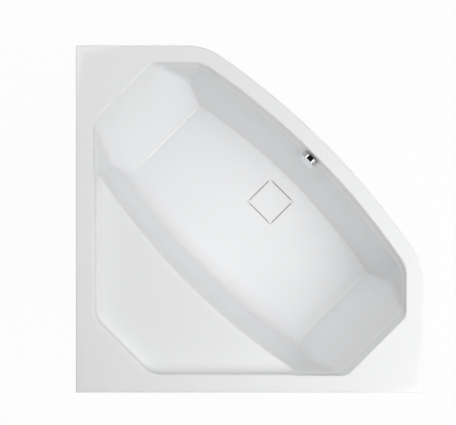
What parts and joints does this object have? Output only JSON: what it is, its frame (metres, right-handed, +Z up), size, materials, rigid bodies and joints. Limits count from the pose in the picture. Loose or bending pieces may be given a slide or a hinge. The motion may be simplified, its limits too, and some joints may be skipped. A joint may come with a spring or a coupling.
{
  "type": "corner bathtub",
  "caption": "White acrylic corner bathtub with corner seat, curved front, covered pop-up waste, overflow knob, steel and timber support and levelling feet.",
  "frame": {"origin": "floor level, under the centre of the square that the two walls span", "axes": "+Z up; one wall lies at -X and the other at +Y, so the room corner is at (-X, +Y) and the curved front faces (+X, -Y)"},
  "size_m": [1.4, 1.4, 0.63],
  "materials": {
    "bath_white": "sanitary acrylic, high gloss, white",
    "glass_fibre": "sprayed glass-fibre reinforced resin, rough",
    "chipboard": "raw pressed chipboard",
    "timber": "planed softwood, unfinished",
    "rail_steel": "galvanised, satin spangle",
    "screw_steel": "zinc plated",
    "black_plastic": "moulded, satin black",
    "rubber": "matt black",
    "chrome": "polished chrome",
    "white_plastic": "moulded polypropylene, satin white",
    "brass": "turned brass"
  },
  "bodies": {
    "bath": {"bath_shell": "bath_white", "glass_fibre_backing": "glass_fibre", "base_board": "chipboard", "seat_board": "chipboard", "wall_batten_right": "timber", "wall_batten_left": "timber", "return_battens": "timber", "front_battens": "timber", "cradle_rail_right": "rail_steel", "cradle_rail_left": "rail_steel", "corner_rail": "rail_steel", "rail_caps": "black_plastic", "rail_screws": "screw_steel", "seat_post": "rail_steel", "seat_post_screws": "screw_steel", "captive_nuts": "screw_steel", "wall_brackets": "rail_steel", "bracket_screws": "screw_steel", "waste_upper_seal": "rubber", "waste_flange": "chrome", "waste_lower_gasket": "rubber", "waste_body": "white_plastic", "trap_seal": "rubber", "trap_nut": "white_plastic", "trap_bowl": "white_plastic", "outlet_pipe": "white_plastic", "outlet_nut": "white_plastic", "overflow_body": "white_plastic", "overflow_gasket": "rubber", "overflow_front_seal": "rubber", "overflow_rosette": "white_plastic", "rosette_screws": "screw_steel", "overflow_pipe": "white_plastic", "pipe_nuts": "white_plastic", "control_cable": "black_plastic", "cable_ferrules": "screw_steel", "cable_clips": "black_plastic"},
    "foot_front_left": {"foot_stud_front_left": "screw_steel", "foot_pad_front_left": "black_plastic", "foot_lock_nut_front_left": "screw_steel"},
    "foot_front_right": {"foot_stud_front_right": "screw_steel", "foot_pad_front_right": "black_plastic", "foot_lock_nut_front_right": "screw_steel"},
    "foot_back_left": {"foot_stud_back_left": "screw_steel", "foot_pad_back_left": "black_plastic", "foot_lock_nut_back_left": "screw_steel"},
    "foot_back_right": {"foot_stud_back_right": "screw_steel", "foot_pad_back_right": "black_plastic", "foot_lock_nut_back_right": "screw_steel"},
    "foot_corner": {"foot_stud_corner": "screw_steel", "foot_pad_corner": "black_plastic", "foot_lock_nut_corner": "screw_steel"},
    "knob": {"overflow_knob": "chrome", "knob_spindle": "brass", "cable_drum": "black_plastic"},
    "plug": {"drain_plug": "chrome", "plug_seal": "rubber"},
    "lever": {"lift_lever": "white_plastic"},
    "cover": {"drain_cover": "bath_white", "cover_pads": "rubber"}
  },
  "joints": [
    {"name": "knob_turn", "type": "hinge", "parent": "bath", "child": "knob", "pos_m": [0.24985, -0.24985, 0.575], "axis": [-0.6889, 0.6889, 0.2252], "range_deg": [0, 90]},
    {"name": "plug_lift", "type": "slide", "parent": "bath", "child": "plug", "axis": [0, 0, 1], "range_m": [0, 0.01]},
    {"name": "lever_swing", "type": "hinge", "parent": "bath", "child": "lever", "pos_m": [0.09832, -0.09832, 0.115], "axis": [0.7071, 0.7071, 0], "range_deg": [0, 41.85]},
    {"name": "cover_lift", "type": "slide", "parent": "bath", "child": "cover", "axis": [0, 0, 1], "range_m": [0, 0.06]},
    {"name": "foot_screw_front_left", "type": "slide", "parent": "bath", "child": "foot_front_left", "axis": [0, 0, -1], "range_m": [0, 0.025]},
    {"name": "foot_screw_front_right", "type": "slide", "parent": "bath", "child": "foot_front_right", "axis": [0, 0, -1], "range_m": [0, 0.025]},
    {"name": "foot_screw_back_left", "type": "slide", "parent": "bath", "child": "foot_back_left", "axis": [0, 0, -1], "range_m": [0, 0.025]},
    {"name": "foot_screw_back_right", "type": "slide", "parent": "bath", "child": "foot_back_right", "axis": [0, 0, -1], "range_m": [0, 0.025]},
    {"name": "foot_screw_corner", "type": "slide", "parent": "bath", "child": "foot_corner", "axis": [0, 0, -1], "range_m": [0, 0.025]}
  ],
  "couplings": [
    {"joint": "plug_lift", "follows": "knob_turn", "m_per_rad": 0.0063662},
    {"joint": "lever_swing", "follows": "knob_turn", "ratio": 0.465}
  ]
}
